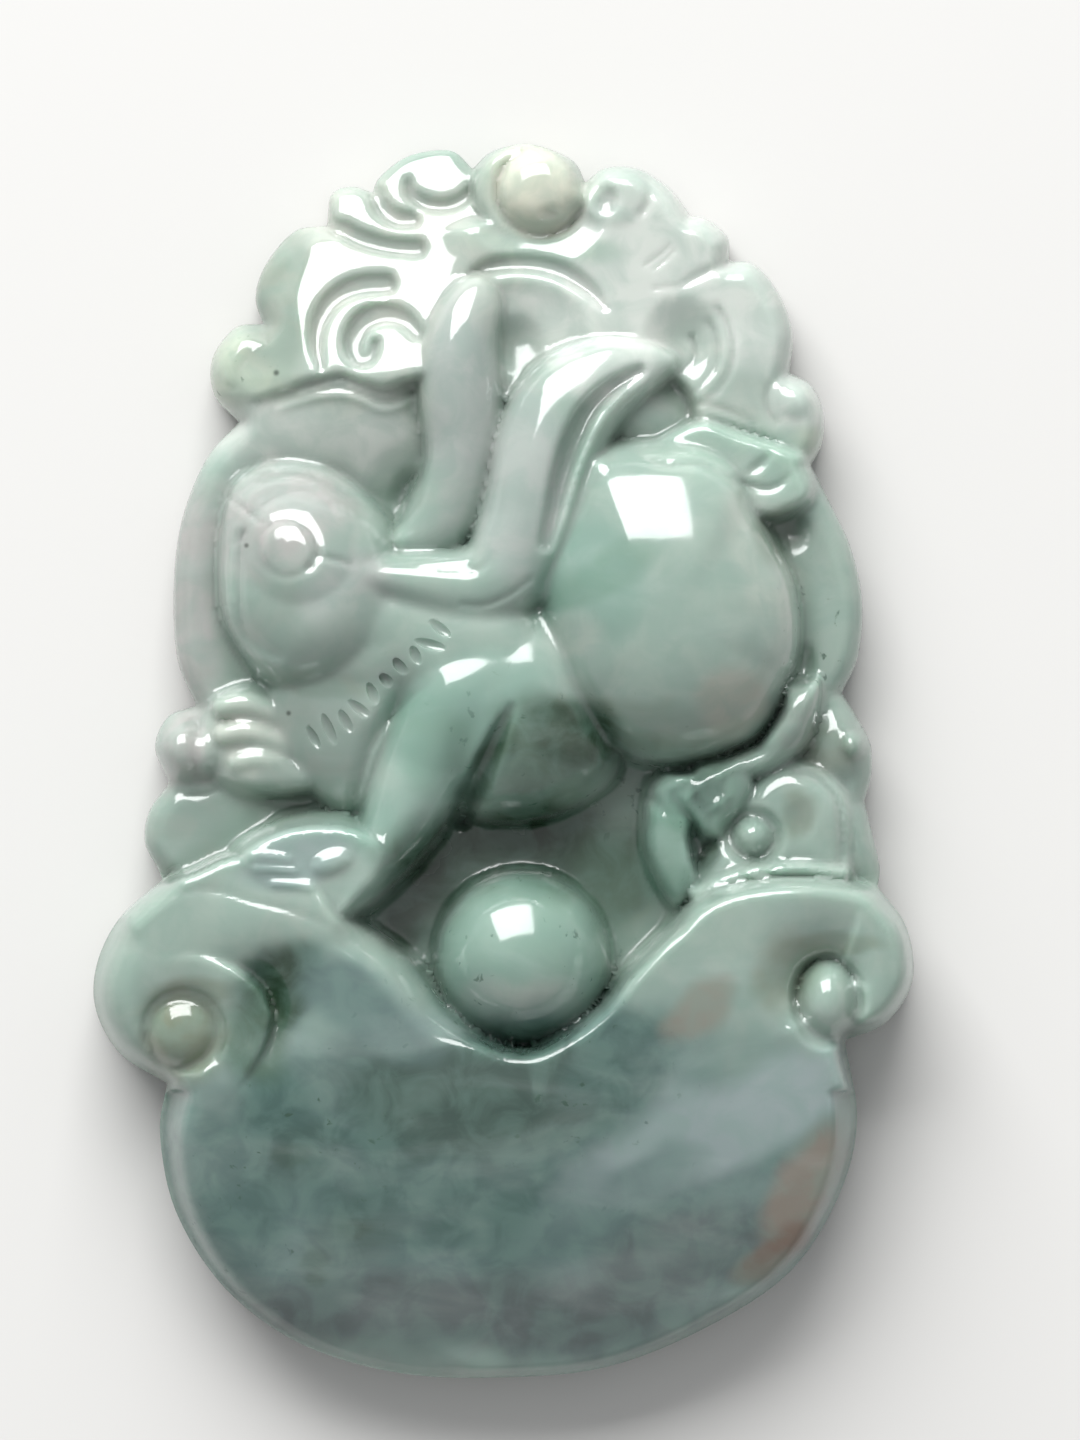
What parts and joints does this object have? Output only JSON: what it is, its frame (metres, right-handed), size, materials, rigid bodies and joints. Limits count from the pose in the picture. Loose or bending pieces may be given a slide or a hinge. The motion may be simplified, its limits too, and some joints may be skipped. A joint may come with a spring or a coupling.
{
  "type": "jade rabbit pendant",
  "caption": "Flat-backed carved jade pendant: a leaping rabbit under curled clouds, over a pearl in the notch of a scroll-ended base, drilled for a cord at the top.",
  "frame": {"origin": "middle of the flat back's extent, on the back", "axes": "+Z out of the carved front, +Y along the pendant towards its drilled top boss, +X to the right when the front is seen with the boss up"},
  "size_m": [0.04, 0.06, 0.0102],
  "materials": {
    "jade": "polished, slightly translucent, mottled pale green to deep green with lavender grey and a few brownish patches"
  },
  "bodies": {
    "root": {"jade_pendant": "jade"}
  },
  "joints": []
}
